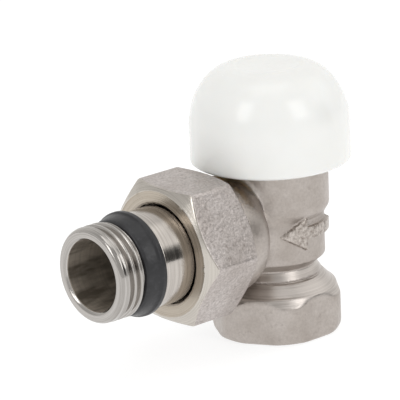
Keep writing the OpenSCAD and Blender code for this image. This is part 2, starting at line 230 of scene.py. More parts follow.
def piece(name, points, faces, body, node, slot, materials, place=UP, tag=None, weight=True):
    """One shown mesh that stands for a CAD node. points are in mm.

    tag gives a face's material number from its radius, its distance along the axis, and how far its
    normal points out from the axis and along it.
    """
    mesh = bpy.data.meshes.new(name)
    mesh.from_pydata([tuple(p) for p in points], [], [tuple(f) for f in faces])
    mesh.transform(Matrix.Scale(MM, 4) @ place)
    for m in materials:
        mesh.materials.append(m)
    mesh.update()
    volume = 0.0
    co = np.array([v.co for v in mesh.vertices], float)
    for f in mesh.polygons:
        v = [co[k] for k in f.vertices]
        for b, c in zip(v[1:], v[2:]):
            volume += np.dot(v[0], np.cross(b, c))
    if volume < 0:
        mesh.flip_normals()
    if tag:
        back = (Matrix.Scale(MM, 4) @ place).inverted()
        for f in mesh.polygons:
            c = back @ f.center
            n = place.to_3x3().inverted() @ f.normal
            out = (n.x * c.x + n.y * c.y) / max(math.hypot(c.x, c.y), 1e-6)
            f.material_index = tag(math.hypot(c.x, c.y), c.z, out, n.z)
    mesh.shade_smooth()
    obj = bpy.data.objects.new(name, mesh)
    bpy.context.scene.collection.objects.link(obj)
    if weight:
        obj.modifiers.new("face_weight", "WEIGHTED_NORMAL").weight = FACE_WEIGHT
    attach(obj, body)
    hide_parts(node)
    return obj


def turned_piece(name, skin, body, node, slot, materials, place=UP, tag=None):
    points, faces = weld(skin.points, skin.faces)
    return piece(name, points, faces, body, node, slot, materials, place, tag)


# ---------- node helpers ----------
class Paint:
    """A material with short calls for its nodes. Textures use the row frame in millimetres."""

    def __init__(self, name, **sockets):
        self.mat = bpy.data.materials.new(name)
        self.mat.use_nodes = True
        self.tree = self.mat.node_tree
        self.shader = self.tree.nodes["Principled BSDF"]
        for key, value in sockets.items():
            self.shader.inputs[key.replace("_", " ")].default_value = value
        coords = self.tree.nodes.new("ShaderNodeTexCoord")
        self.mm = self.vector_math("SCALE", coords.outputs["Object"], "Scale", 1 / MM)
        self.bump_from = None

    def new(self, kind, **values):
        node = self.tree.nodes.new(kind)
        for key, value in values.items():
            setattr(node, key, value)
        return node

    def link(self, out, socket):
        self.tree.links.new(out, socket)

    def vector_math(self, operation, a, key, value):
        node = self.new("ShaderNodeVectorMath", operation=operation)
        self.link(a, node.inputs[0])
        node.inputs[key].default_value = value
        return node.outputs["Vector"]

    def math(self, operation, a, b=0.0):
        node = self.new("ShaderNodeMath", operation=operation)
        for socket, value in zip(node.inputs, (a, b)):
            if isinstance(value, (int, float)):
                socket.default_value = value
            else:
                self.link(value, socket)
        return node.outputs[0]

    def noise(self, scale, detail=2.0, rough=0.5, where=None):
        node = self.new("ShaderNodeTexNoise")
        self.link(self.mm if where is None else where, node.inputs["Vector"])
        for key, value in (("Scale", scale), ("Detail", detail), ("Roughness", rough)):
            node.inputs[key].default_value = value
        return node.outputs["Fac"]

    def span(self, value, low, high, to_low=0.0, to_high=1.0):
        """Maps low..high to to_low..to_high, clamped."""
        node = self.new("ShaderNodeMapRange", clamp=True)
        self.link(value, node.inputs["Value"])
        limits = (("From Min", low), ("From Max", high), ("To Min", to_low), ("To Max", to_high))
        for key, limit in limits:
            node.inputs[key].default_value = limit
        return node.outputs["Result"]

    def mix(self, factor, a, b):
        """Mixes two colours; the numbers are the places of the node's colour sockets."""
        node = self.new("ShaderNodeMix", data_type="RGBA")
        for socket, value in ((node.inputs[0], factor), (node.inputs[6], a), (node.inputs[7], b)):
            if isinstance(value, float):
                socket.default_value = value
            elif isinstance(value, tuple):
                socket.default_value = (*value, 1.0)
            else:
                self.link(value, socket)
        return node.outputs[2]

    def bump(self, height, depth_mm):
        """Stacks a bump whose height of 1 stands for depth_mm."""
        node = self.new("ShaderNodeBump")
        node.inputs["Strength"].default_value = 1.0
        node.inputs["Distance"].default_value = depth_mm * MM
        self.link(height, node.inputs["Height"])
        if self.bump_from:
            self.link(self.bump_from, node.inputs["Normal"])
        self.bump_from = node.outputs["Normal"]

    def turning(self, axis, centre, across, round_it=0.35):
        """A vector that changes quickly along a turned surface and slowly round it."""
        at = self.vector_math("SUBTRACT", self.mm, 1, centre)
        parts = self.new("ShaderNodeSeparateXYZ")
        self.link(at, parts.inputs[0])
        x, y, z = parts.outputs
        along, u, v = (x, y, z) if axis == "X" else (z, x, y)
        squares = self.math("ADD", self.math("MULTIPLY", u, u), self.math("MULTIPLY", v, v))
        radius = self.math("SQRT", squares)
        angle = self.math("ARCTAN2", u, v)
        out = self.new("ShaderNodeCombineXYZ")
        self.link(self.math("MULTIPLY", radius, across), out.inputs[0])
        self.link(self.math("MULTIPLY", along, across), out.inputs[1])
        self.link(self.math("MULTIPLY", self.math("ABSOLUTE", angle), round_it), out.inputs[2])
        return out.outputs[0]

    def done(self, colour, rough):
        self.link(colour, self.shader.inputs["Base Color"])
        self.link(rough, self.shader.inputs["Roughness"])
        if self.bump_from:
            self.link(self.bump_from, self.shader.inputs["Normal"])
        return self.mat


TAIL_CENTRE, VALVE_CENTRE = (0, 0, AXIS_Z), (0, 0, 0)
ARROW_Z, ARROW_RAISED = AXIS_Z - 0.8, 1.05
ARROW = [(-7.2, 0), (-1.0, 3.9), (-1.0, 1.4), (8.4, 1.4),
         (8.4, -1.4), (-1.0, -1.4), (-1.0, -3.9)]       # outline of the raised flow arrow


def blasted_nickel(name, spots, depth, dark, light):
    """Forged brass, sand-blasted and nickel plated: a fine peened grain with soft tonal patches.

    spots is how strongly the dark spots show, and depth is the grain's in millimetres.
    """
    p = Paint(name, Metallic=1.0)
    patches = p.span(p.noise(0.16, 3.0), 0.32, 0.68)
    grain = p.noise(1.35, 3.0, 0.65)
    speck = p.span(p.noise(1.9, 3.0, 0.65), 0.36, 0.64)
    pits = p.span(p.noise(0.9, 2.0, 0.6), 0.60, 0.72)
    tone = p.mix(patches, dark, light)
    tone = p.mix(speck, p.mix(spots, tone, (0.25, 0.22, 0.20)), tone)
    tone = p.mix(p.math("MULTIPLY", pits, spots), tone, (0.24, 0.205, 0.18))
    p.bump(p.noise(0.35, 2.0), 0.12)
    p.bump(grain, depth)
    return p.done(tone, p.span(grain, 0.3, 0.7, 0.32, 0.48))


def cast_rough():
    """The coarse, sparkling skin left inside the forging die, on the raised arrow."""
    p = Paint("cast_rough_nickel", Metallic=1.0)
    lumps = p.noise(1.0, 3.0, 0.7)
    tone = p.mix(p.span(lumps, 0.38, 0.62), (0.30, 0.26, 0.23), (0.58, 0.53, 0.49))
    p.bump(lumps, 0.35)
    return p.done(tone, p.span(lumps, 0.3, 0.7, 0.24, 0.40))


def turned_metal(name, axis, light, dark, rough, lines, across=3.0):
    """Metal from the lathe, with concentric tool marks of depth lines, and across of them a mm."""
    centre = TAIL_CENTRE if axis == "X" else VALVE_CENTRE
    p = Paint(name, Metallic=1.0)
    where = p.turning(axis, centre, across)
    marks = p.noise(1.0, 4.0, 0.6, where)
    tone = p.mix(p.span(marks, 0.35, 0.65), dark, light)
    cloud = p.span(p.noise(0.22, 3.0), 0.35, 0.7)
    tone = p.mix(p.math("MULTIPLY", cloud, 0.35), tone, tuple(0.8 * c for c in light))
    p.bump(marks, lines)
    p.bump(p.noise(2.6, 2.0), 0.006)
    return p.done(tone, p.span(marks, 0.3, 0.7, *rough))


def bore_metal():
    """The bored tube: dull, with streaks along it and faint rings round it."""
    p = Paint("tail_bore_metal", Metallic=0.45)
    streaks = p.noise(1.0, 3.0, 0.6, p.turning("X", TAIL_CENTRE, 0.07, 2.4))
    rings = p.noise(1.0, 3.0, 0.6, p.turning("X", TAIL_CENTRE, 1.6))
    tone = p.mix(p.span(streaks, 0.40, 0.62), (0.17, 0.145, 0.115), (0.52, 0.46, 0.39))
    tone = p.mix(p.span(rings, 0.35, 0.65, 0.0, 0.30), tone, (0.15, 0.125, 0.10))
    p.bump(rings, 0.012)
    return p.done(tone, p.span(rings, 0.3, 0.7, 0.30, 0.46))


def white_plastic():
    """Glossy moulded plastic with faint scuffs round it."""
    p = Paint("white_plastic", Roughness=0.2)
    s = p.shader.inputs
    s["Subsurface Weight"].default_value = 0.25
    s["Subsurface Radius"].default_value = (1.0, 0.9, 0.8)
    s["Subsurface Scale"].default_value = 0.0016
    s["IOR"].default_value = 1.49
    s["Coat Weight"].default_value = 0.15
    s["Coat Roughness"].default_value = 0.08
    cloud = p.span(p.noise(0.12, 2.0), 0.3, 0.7)
    tone = p.mix(cloud, (0.86, 0.862, 0.84), (0.88, 0.884, 0.866))
    scuff = p.span(p.noise(1.0, 4.0, 0.7, p.turning("Z", VALVE_CENTRE, 0.7, 0.9)), 0.66, 0.8)
    tone = p.mix(p.math("MULTIPLY", scuff, 0.12), tone, (0.70, 0.69, 0.66))
    p.bump(p.noise(0.22, 1.0), 0.05)
    p.bump(p.noise(3.0, 2.0), 0.0025)
    rough = p.math("ADD", p.span(p.noise(0.5, 3.0), 0.3, 0.7, 0.15, 0.25),
                   p.math("MULTIPLY", scuff, 0.2))
    return p.done(tone, rough)


def rubber():
    """Black moulded rubber with a little dust on it."""
    p = Paint("moulded_rubber", IOR=1.5)
    fine = p.noise(3.0, 3.0, 0.6)
    dust = p.span(p.noise(0.8, 4.0, 0.7), 0.5, 0.8)
    tone = p.mix(dust, (0.012, 0.012, 0.014), (0.034, 0.033, 0.038))
    p.bump(fine, 0.02)
    p.bump(p.noise(0.6, 2.0), 0.04)
    return p.done(tone, p.span(fine, 0.3, 0.7, 0.30, 0.46))


def plain_solid(name, light, dark, rough, grain):
    """Matt fibre or plastic with a mottled colour and a fine grain, its depth in millimetres."""
    p = Paint(name)
    mottle = p.span(p.noise(1.4, 4.0, 0.65), 0.35, 0.65)
    tone = p.mix(mottle, dark, light)
    p.bump(p.noise(4.0, 3.0, 0.6), grain)
    return p.done(tone, p.span(p.noise(2.0, 3.0), 0.3, 0.7, rough - 0.08, rough + 0.08))


NICKEL = blasted_nickel("blasted_nickel", 0.22, 0.07,
                        (0.425, 0.380, 0.346), (0.530, 0.485, 0.452))
# The nut's flats: blasted nickel with stronger dark spots and a deeper grain, and tones about a
# fifth lighter than the body's, which is painted light on the flats
NUT_FLATS_PAINTED_LIGHTER = blasted_nickel("blasted_nickel_nut_painted_lighter", 0.50, 0.12,
                           (0.540, 0.490, 0.465), (0.640, 0.592, 0.572))
CAST_ROUGH = cast_rough()
TURNED_BODY = turned_metal("turned_nickel_body", "Z", (0.63, 0.585, 0.55), (0.44, 0.40, 0.37),
                           (0.28, 0.40), 0.010)
TURNED_UNION = turned_metal("turned_nickel_union", "X", (0.56, 0.535, 0.51), (0.34, 0.32, 0.30),
                            (0.12, 0.22), 0.012)
NUT_FACE_METAL = turned_metal("turned_nut_face", "X", (0.52, 0.465, 0.395), (0.38, 0.33, 0.27),
                              (0.22, 0.36), 0.016)
CHAMFER = turned_metal("turned_nut_chamfer", "X", (0.64, 0.60, 0.55), (0.50, 0.465, 0.42),
                       (0.16, 0.28), 0.010)
POLISHED = turned_metal("polished_nickel", "X", (0.58, 0.54, 0.50), (0.43, 0.395, 0.365),
                        (0.09, 0.18), 0.006, 2.2)
BORE_METAL = bore_metal()
WHITE = white_plastic()
RUBBER = rubber()
BRASS = turned_metal("turned_brass", "Z", (0.78, 0.60, 0.30), (0.62, 0.45, 0.20),
                     (0.2, 0.34), 0.010)
STEEL = turned_metal("ground_stainless", "Z", (0.66, 0.66, 0.67), (0.50, 0.50, 0.51),
                     (0.18, 0.30), 0.006)
PTFE = plain_solid("ptfe", (0.88, 0.88, 0.85), (0.80, 0.80, 0.77), 0.45, 0.01)
FIBRE = plain_solid("red_fibre", (0.47, 0.13, 0.09), (0.33, 0.08, 0.055), 0.7, 0.03)


# ---------- valve body: a forging with soft fillets, and its turned ends ----------
VOXEL = 0.28            # the forging's grid
PROFILE_STEP = 0.08     # the finer grid of its profiles
PAST_AXIS = -5          # the solids reach past the axis, so that it isn't an edge of their profiles
CAVITY_LOW = -5         # the hollow starts below the base
INLET_R, INLET_TOP = PIPE_R + 0.6, 11.3
INLET_CONE_R, INLET_CONE_TOP = 9.3, 13.0
# Widths of the eased edges and of the fillets between the forging's solids
HEX_EASE, CORNER_EASE, ARROW_TOP_EASE, ARROW_SIDE_EASE = 0.3, 0.35, 0.35, 0.3
BASE_FILLET, BRANCH_FILLET, ARROW_FILLET = 0.7, 2.2, 0.25
# Opposite corners of the grid, with a margin round the forging
GRID_LOW = np.array([-21.5, -16.5, -1.5])
GRID_HIGH = np.array([16.5, 16.5, BODY_TOP + 1.5])
GRID_OUTSIDE = 4.0      # the field's value where the grid is empty
END_DEPTH = 0.25        # how far in from an end face its turned skin reaches
ARROW_MARGIN = 0.12     # how far past the arrow's outline its rough skin reaches


def plane_field(points, u, v):
    """Signed distance from a closed outline in a plane to each (u, v)."""
    pts = np.array(points, float)
    best, inside = np.full(u.shape, 1e9), np.zeros(u.shape, bool)
    for (au, av), (bu, bv) in zip(pts, np.roll(pts, -1, axis=0)):
        eu, ev = bu - au, bv - av
        t = np.clip(((u - au) * eu + (v - av) * ev) / max(eu * eu + ev * ev, 1e-12), 0, 1)
        best = np.minimum(best, (u - au - t * eu) ** 2 + (v - av - t * ev) ** 2)
        with np.errstate(divide="ignore", invalid="ignore"):
            inside ^= ((av > v) != (bv > v)) & (u < eu * (v - av) / ev + au)
    return np.where(inside, -1, 1) * np.sqrt(best)


def profile_field(points, r, z):
    """Signed distance from a closed (r, z) profile to each (r, z), read off a finer grid."""
    r0, z0 = -1.0, float(z.min()) - 0.5
    rs = np.arange(r0, float(r.max()) + 1, PROFILE_STEP)
    zs = np.arange(z0, float(z.max()) + 1, PROFILE_STEP)
    field = plane_field(points, *np.meshgrid(rs, zs, indexing="ij"))
    fr, fz = (r - r0) / PROFILE_STEP, (z - z0) / PROFILE_STEP
    i = np.clip(fr.astype(int), 0, len(rs) - 2)
    j = np.clip(fz.astype(int), 0, len(zs) - 2)
    u, v = fr - i, fz - j
    return ((1 - u) * (1 - v) * field[i, j] + u * (1 - v) * field[i + 1, j]
            + (1 - u) * v * field[i, j + 1] + u * v * field[i + 1, j + 1])


def soft_min(a, b, k):
    """The smaller of two fields, with a fillet about k wide where they meet."""
    h = np.clip(0.5 + 0.5 * (b - a) / k, 0, 1)
    return b * (1 - h) + a * h - k * h * (1 - h)


def soft_max(a, b, k):
    return -soft_min(-a, -b, k)


def base_hexagon(x, y, r, z):
    prism = None
    for a in np.radians((30, 90, 150)):
        side = np.abs(x * math.cos(a) + y * math.sin(a)) - BASE_FLAT_R
        prism = side if prism is None else soft_max(prism, side, HEX_EASE)
    corners_cut = profile_field(
        [(PAST_AXIS, 0), (BASE_CORNER_R - 0.8, 0), (BASE_CORNER_R - 0.2, 1.1),
         (BASE_CORNER_R, 2.2), (BASE_CORNER_R, BASE_H - 1.7), (BASE_FLAT_R - 0.2, BASE_H),
         (PAST_AXIS, BASE_H)], r, z)
    return soft_max(prism, corners_cut, CORNER_EASE)


def upright(r, z):
    """The cone on the base, its groove, the neck, the barrel and the collar."""
    return profile_field(
        [(PAST_AXIS, BASE_H - 1), (BASE_FLAT_R - 0.2, BASE_H - 1), (BASE_FLAT_R - 0.2, BASE_H),
         (NECK_R + 1.55, BASE_H + 2.75), (NECK_R + 0.9, BASE_H + 2.8),
         (NECK_R + 0.9, BASE_H + 3.15), (NECK_R + 1.3, BASE_H + 3.2),
         (NECK_R, MID_LOW - 2.3), (NECK_R, MID_LOW - 2)]
        + arc(MID_R - 0.5, MID_LOW + 0.05, 0.5, 0.5, -45, 0, 4)
        + [(MID_R, COLLAR_LOW - 2.4), (MID_R + 0.15, COLLAR_LOW - 1.7),
           (COLLAR_R - 0.1, COLLAR_LOW - 0.1), (COLLAR_R, COLLAR_LOW + 0.3),
           (COLLAR_R, BODY_TOP - 0.4), (COLLAR_R - 0.4, BODY_TOP), (PAST_AXIS, BODY_TOP)], r, z)


def branch(branch_r, along):
    """The branch, which flares out to its thread; the thread is a piece of its own."""
    flare_end = NUT_BACK - 0.9
    flare_low, flare_high = MID_R - 0.5, flare_end - 1.2
    root = BRANCH_THREAD_R - PIPE_DEPTH
    return profile_field(
        [(PAST_AXIS, -2), (BRANCH_R, -2), (BRANCH_R, flare_low)]
        + arc(BRANCH_R, flare_high, BRANCH_THREAD_R - BRANCH_R, flare_high - flare_low, -90, 0, 12)
        + [(BRANCH_THREAD_R, flare_end), (root, flare_end + 0.3), (root, NUT_BACK + 0.2),
           (PAST_AXIS, NUT_BACK + 0.2)], branch_r, along)


def hollows(r, z, branch_r, x):
    """The inlet up to the seat, the chamber that holds the insert, and the branch's port."""
    inlet = profile_field(
        [(PAST_AXIS, CAVITY_LOW), (INLET_R, CAVITY_LOW), (INLET_R, INLET_TOP),
         (INLET_CONE_R, INLET_TOP), (SEAT_R, INLET_CONE_TOP), (SEAT_R, SEAT_TOP + 1),
         (PAST_AXIS, SEAT_TOP + 1)], r, z)
    chamber = profile_field(
        [(SEAT_R + 1.2, SEAT_TOP - 0.8), (CHAMBER_R, SEAT_TOP - 0.8),
         (CHAMBER_R, INSERT_SHOULDER), (INSERT_HOLE_R, INSERT_SHOULDER),
         (INSERT_HOLE_R, BODY_TOP - 1.9), (INSERT_HOLE_R + 2, BODY_TOP + 0.1),
         (INSERT_HOLE_R + 2, BODY_TOP + 4), (PAST_AXIS, BODY_TOP + 4),
         (PAST_AXIS, SEAT_TOP), (SEAT_R + 0.7, SEAT_TOP)], r, z)
    return inlet, chamber, np.maximum(branch_r - PORT_R, x)


def body_forging():
    """Points and faces of the forging, from its solids blended into each other on a grid."""
    steps = [np.arange(a, b, VOXEL) for a, b in zip(GRID_LOW, GRID_HIGH)]
    x, y, z = np.meshgrid(*steps, indexing="ij")
    r, branch_r = np.hypot(x, y), np.hypot(y, z - AXIS_Z)
    arrow = plane_field(ARROW, x, z - ARROW_Z)
    arrow = soft_max(arrow, r - MID_R - ARROW_RAISED, ARROW_TOP_EASE)
    arrow = soft_max(arrow, y, ARROW_SIDE_EASE)
    solid = soft_min(base_hexagon(x, y, r, z), upright(r, z), BASE_FILLET)
    solid = soft_min(solid, branch(branch_r, -x), BRANCH_FILLET)
    solid = soft_min(solid, arrow, ARROW_FILLET)
    for cut in hollows(r, z, branch_r, x):
        solid = np.maximum(solid, -cut)
    grid = openvdb.FloatGrid(GRID_OUTSIDE)
    grid.copyFromArray(solid.astype(np.float32))
    points, quads = grid.convertToQuads(0.0)
    return points * VOXEL + GRID_LOW, quads


def branch_thread():
    """The turned end of the branch: thread outside, nose hole inside."""
    root, low = BRANCH_THREAD_R - PIPE_DEPTH, NUT_BACK - 0.4
    start, top = NUT_BACK + 0.5, BRANCH_END
    skin = Skin()
    skin.thread(start, top, BRANCH_THREAD_R, PIPE_DEPTH, PIPE_PITCH,
                [(start, root), (start + 0.9, BRANCH_THREAD_R), (top - 1.9, BRANCH_THREAD_R),
                 (top, root)])
    skin.rows(soften([(root, top), (NOSE_HOLE_R + 0.75, top), (NOSE_HOLE_R, top - 0.75),
                      (NOSE_HOLE_R, NOSE_END - 0.4), (PORT_R, NOSE_END - 0.4), (PORT_R, low),
                      (root, low), (root, start)], 0.12, closed=False), closed=False)
    return skin


def inlet_thread():
    """The turned thread in the inlet, as a liner in the forging."""
    crest, outer = PIPE_R - PIPE_DEPTH, PIPE_R + 0.75
    entry, top = 0.0, 11.0
    skin = Skin()
    skin.thread(entry, top, crest, PIPE_DEPTH, PIPE_PITCH,
                [(entry, crest + 1.5), (entry + 1.4, crest), (top - 0.9, crest), (top, PIPE_R)],
                inside=True)
    skin.rows([(PIPE_R, top), (PIPE_R, top + 0.4), (outer, top + 0.4), (outer, entry),
               (crest + 1.5, entry)], closed=False)
    return skin


def forging_tag(r, s, out, up):
    """0 blasted, 1 turned: the cone under the neck, the end face and the collar's top."""
    on_cone = BASE_H - 1.6 < s < MID_LOW - 1.7 and up > 0.25 and r < BASE_CORNER_R + 0.1
    on_an_end = s < END_DEPTH or s > BODY_TOP - END_DEPTH
    return 1 if on_cone or on_an_end else 0


def on_arrow(c):
    """Whether a point is on the raised arrow or just beside it."""
    if c.y > 0 or math.hypot(c.x, c.y) < MID_R:
        return False
    return plane_field(ARROW, np.array([c.x]), np.array([c.z - ARROW_Z]))[0] < ARROW_MARGIN


forging = piece("body_forging", *body_forging(), "body", "valve_body", "nickel_body",
                [NICKEL, TURNED_BODY, CAST_ROUGH], tag=forging_tag, weight=False)
for face in forging.data.polygons:
    if on_arrow(face.center / MM):
        face.material_index = forging.data.materials.find(CAST_ROUGH.name)
turned_piece("body_branch_thread", branch_thread(), "body", "valve_body", "nickel_body",
             [TURNED_UNION], ALONG_TAIL)
turned_piece("body_inlet_thread", inlet_thread(), "body", "valve_body", "nickel_body",
             [TURNED_BODY])


# ---------- union nut ----------
HALF_SIDE = math.radians(30)        # angle from the middle of a hexagon's flat to its corner


def hexagon_columns(flat_r, phase, corner=0.45, flat_points=7, corner_points=9):
    """Angles and radii of a hexagon with rounded corners."""
    turn, radius = [], []
    straight = flat_r * math.tan(HALF_SIDE) - corner * math.tan(HALF_SIDE)
    centre_r = (flat_r - corner) / math.cos(HALF_SIDE)
    for k in range(6):
        middle = math.radians(60 * k + phase)
        for t in np.linspace(-straight, straight, flat_points):
            turn.append(middle + math.atan2(t, flat_r))
            radius.append(math.hypot(t, flat_r))
        for a in np.radians(np.linspace(-30, 30, corner_points + 2)[1:-1]):
            px, py = centre_r + corner * math.cos(a), corner * math.sin(a)
            turn.append(middle + HALF_SIDE + math.atan2(py, px))
            radius.append(math.hypot(px, py))
    return np.array(turn), np.array(radius)


def hexagon_skin(flat_r, phase, back, front, face_r, back_r, slope, edge=0.22, corner=0.45):
    """A skin, and its rows down a hexagon whose ends are cut by cones, with eased edges."""
    turn, radius = hexagon_columns(flat_r, phase, corner)
    front_cut = front - (radius - face_r) * slope
    back_cut = back + np.maximum(radius - back_r, 0) * slope
    lean = math.hypot(1, slope)
    in_r, in_s = edge / lean, edge * slope / lean       # along the cone by one edge
    bow_r, bow_s = edge * 0.22, edge * 0.15             # the middle of the eased edge
    rows = [(face_r, front)]
    for t in (0.12, 0.5, 0.75):
        rows.append((face_r + (radius - face_r) * t, front + (front_cut - front) * t))
    rows += [(radius - in_r, front_cut + in_s), (radius - bow_r, front_cut - bow_s),
             (radius, front_cut - edge)]
    for t in (0.3, 0.7):
        rows.append((radius, front_cut + (back_cut - front_cut) * t))
    rows += [(radius, back_cut + edge), (radius - bow_r, back_cut + bow_s),
             (radius - in_r, np.maximum(back_cut - in_s, back)), (back_r, back)]
    return Skin(turn), rows


def union_nut():
    face_r, back_r, flange_hole_r = NUT_FLAT_R - 0.9, NUT_FLAT_R - 0.1, FLANGE_R + 0.15
    skin, rows = hexagon_skin(NUT_FLAT_R, NUT_PHASE + 60, NUT_BACK, NUT_FRONT, face_r, back_r,
                              math.tan(math.radians(30)), 0.3, 1.3)
    inner = soften([(back_r, NUT_BACK), (NUT_BORE_R + 0.6, NUT_BACK), (NUT_BORE_R, NUT_BACK + 0.6),
                    (NUT_BORE_R, BRANCH_END + 0.1), (flange_hole_r, BRANCH_END + 0.6),
                    (flange_hole_r, NUT_FACE), (NUT_HOLE_R, NUT_FACE),
                    (NUT_HOLE_R, NUT_FRONT - 0.4), (NUT_HOLE_R + 0.45, NUT_FRONT),
                    (face_r, NUT_FRONT)], 0.15, closed=False)
    skin.rows(rows + inner[1:], closed=False)
    return skin


def nut_tag(r, s, out, along):
    """0 blasted flats in a lighter copy of the nickel (painted light), 1 turned front face, 2 shiny
    turned chamfers and bore.
    """
    if along > 0.9 and s > NUT_FRONT - 0.3:
        return 1
    if out < -0.3 or r < NUT_FLAT_R - 1.2:
        return 2
    return 2 if abs(along) > 0.4 else 0


turned_piece("union_nut_hexagon", union_nut(), "nut", "union_nut", "nickel_body",
             [NUT_FLATS_PAINTED_LIGHTER, NUT_FACE_METAL, CHAMFER], ALONG_TAIL, nut_tag)


# ---------- tailpiece ----------
def tailpiece():
    skin = Skin()
    root, crest = PIPE_R - PIPE_DEPTH, PIPE_R
    start, lip = THREAD_START - 0.3, 1.7
    end_r = root + 0.15         # the end's face, inside the rounded lip
    rounded = [(s, r) for r, s in arc(end_r, REACH - lip, crest - end_r, lip, 0, 90, 6)]
    skin.thread(start, REACH, crest, PIPE_DEPTH, PIPE_PITCH,
                [(start, root), (start + 0.5, crest)] + rounded,
                filled=[(REACH - 2.7, root), (REACH - 2.0, crest - 0.1), (REACH, crest - 0.1)])
    groove_low = NOSE_END + 0.9
    groove_high, groove_r = groove_low + 1.7, 8.71
    shoulder = RING_START - 0.03
    skin.rows(soften(
        [(end_r, REACH), (TAIL_BORE_R + 0.6, REACH), (TAIL_BORE_R, REACH - 0.6),
         (TAIL_BORE_R, BORE_STEP), (LUG_BORE_R, BORE_STEP), (LUG_BORE_R, NOSE_END),
         (NOSE_R - 0.5, NOSE_END), (NOSE_R, NOSE_END + 0.5), (NOSE_R, groove_low),
         (groove_r, groove_low), (groove_r, groove_high), (NOSE_R, groove_high),
         (NOSE_R, FLANGE_BACK - 0.4), (NOSE_R + 0.4, FLANGE_BACK),
         (FLANGE_R - 0.3, FLANGE_BACK), (FLANGE_R, FLANGE_BACK + 0.3),
         (FLANGE_R, FLANGE_FRONT - 0.4), (FLANGE_R - 0.3, FLANGE_FRONT),
         (SHANK_R, FLANGE_FRONT), (SHANK_R, RING_START - 0.3), (SHANK_R - 0.3, shoulder),
         (RING_FLOOR_R, shoulder), (RING_FLOOR_R, start), (root, start)],
        0.25, closed=False), closed=False)
    # two lugs in the bore, for the key that turns the tail
    half, back, front = 1.4, FLANGE_BACK, FLANGE_BACK + 9
    for side in (1, -1):
        a, b = side * (LUG_BORE_R - 1), side * (LUG_BORE_R + 0.25)
        skin.block([(x, y, s) for s in (back, front)
                    for x, y in ((a, -half), (b, -half), (b, half), (a, half))])
    return skin


def tail_tag(r, s, out, along):
    """0 polished outside, 1 bore, 2 thread."""
    if r < TAIL_BORE_R + 0.1:
        return 1
    return 2 if s > THREAD_START - 0.4 else 0


turned_piece("tailpiece_turned", tailpiece(), "tail", "tailpiece", "nickel_polished",
             [POLISHED, BORE_METAL, TURNED_UNION], ALONG_TAIL, tail_tag)


# ---------- rubber rings ----------
def lathe_piece(name, profile, body, node, slot, material, place=UP, radius=0.15):
    skin = Skin()
    skin.rows(soften(profile, radius) if radius else profile)
    return turned_piece(name, skin, body, node, slot, [material], place)


lathe_piece("tail_seal_ring_moulded",
            [(RING_FLOOR_R + 0.04, RING_START), (RING_R - 0.4, RING_START),
             (RING_R, RING_START + 0.37), (RING_R - 0.05, RING_START + 1.37),
             (RING_R - 0.35, RING_START + 1.67), (RING_R - 0.55, RING_START + 2.1),
             (RING_R - 0.8, RING_START + 3.4), (RING_R - 1.1, RING_END - 0.5),
             (RING_R - 1.5, RING_END), (RING_FLOOR_R + 0.04, RING_END)],
            "tail", "tail_seal_ring", "black_rubber", RUBBER, ALONG_TAIL, 0.3)


def o_ring(name, node, body, place=UP, axis="z"):
    """A moulded O-ring with its flash line, from the node's box."""
    low, top = box_mm(node)
    if axis == "z":
        section, outer, middle = (top.z - low.z) / 2, top.x, (top.z + low.z) / 2
    else:
        section, outer, middle = (top.x - low.x) / 2, top.y, -(top.x + low.x) / 2
    ring = arc(outer - section, middle, section, section, 0, 345, 23)
    ring[0] = (outer - 0.02, middle)        # the flash line, a touch in from the section's round
    return lathe_piece(name, ring, body, node, "black_rubber", RUBBER, place, 0)


o_ring("tail_o_ring_moulded", "tail_o_ring", "tail", ALONG_TAIL, "x")
o_ring("bonnet_o_ring_moulded", "bonnet_o_ring", "body")
o_ring("pin_o_ring_moulded", "pin_o_ring", "body")


# ---------- cap ----------
def cap():
    wall = 1.9
    inner_top, inner_flat = CAP_TOP - wall, CAP_FLAT_R - wall
    boss_low, boss_r = 57.5, 4.45
    disc_pin_r, disc_pin_h = 1.25, 1.2
    crest, root = CAP_BORE_R + 0.05, CAP_BORE_R + 0.9
    thread_low, thread_high, bore_top = CAP_LOW + 1.6, 50.6, 51.6
    rim_r, rim_h = 1.8, 0.85        # the rounded rim
    flat_z = CAP_TOP - 0.08         # the round flat on the dome, in a shallow ring
    skin = Skin()
    skin.thread(thread_low, thread_high, crest, root - crest, HEAD_PITCH,
                [(thread_low, root), (thread_low + 0.8, crest), (thread_high - 0.9, crest),
                 (thread_high, root)], inside=True)
    skin.rows(soften([(root, thread_low), (root, CAP_LOW + 0.55), (root + 0.5, CAP_LOW),
                      (CAP_R - rim_r, CAP_LOW)], 0.12, closed=False)
              + arc(CAP_R - rim_r, CAP_SIDE, rim_r, rim_h, -90, 0, 8)[1:]
              + [(CAP_R, CAP_SIDE + t * (CAP_DOME_LOW - CAP_SIDE)) for t in (0.25, 0.5, 0.75)]
              + arc(CAP_FLAT_R, CAP_DOME_LOW, CAP_R - CAP_FLAT_R, CAP_TOP - CAP_DOME_LOW, 0, 87, 28)
              + [(CAP_FLAT_R + 0.25, CAP_TOP - 0.01), (CAP_FLAT_R - 0.1, CAP_TOP - 0.02),
                 (CAP_FLAT_R - 0.45, CAP_TOP - 0.07), (CAP_FLAT_R - 0.9, flat_z),
                 (3.0, flat_z), (0, flat_z)], closed=False)
    skin.rows([(0, boss_low + disc_pin_h), (disc_pin_r, boss_low + disc_pin_h),
               (disc_pin_r, boss_low), (boss_r, boss_low),
               (boss_r, inner_top - 0.4), (boss_r + 0.4, inner_top)]
              + arc(inner_flat, bore_top, CAP_BORE_R - inner_flat, inner_top - bore_top, 90, 0, 16)
              + [(root, bore_top - 0.3), (root, thread_high)], closed=False)
    return skin


turned_piece("protective_cap_moulded", cap(), "cap", "protective_cap", "cap_white", [WHITE])


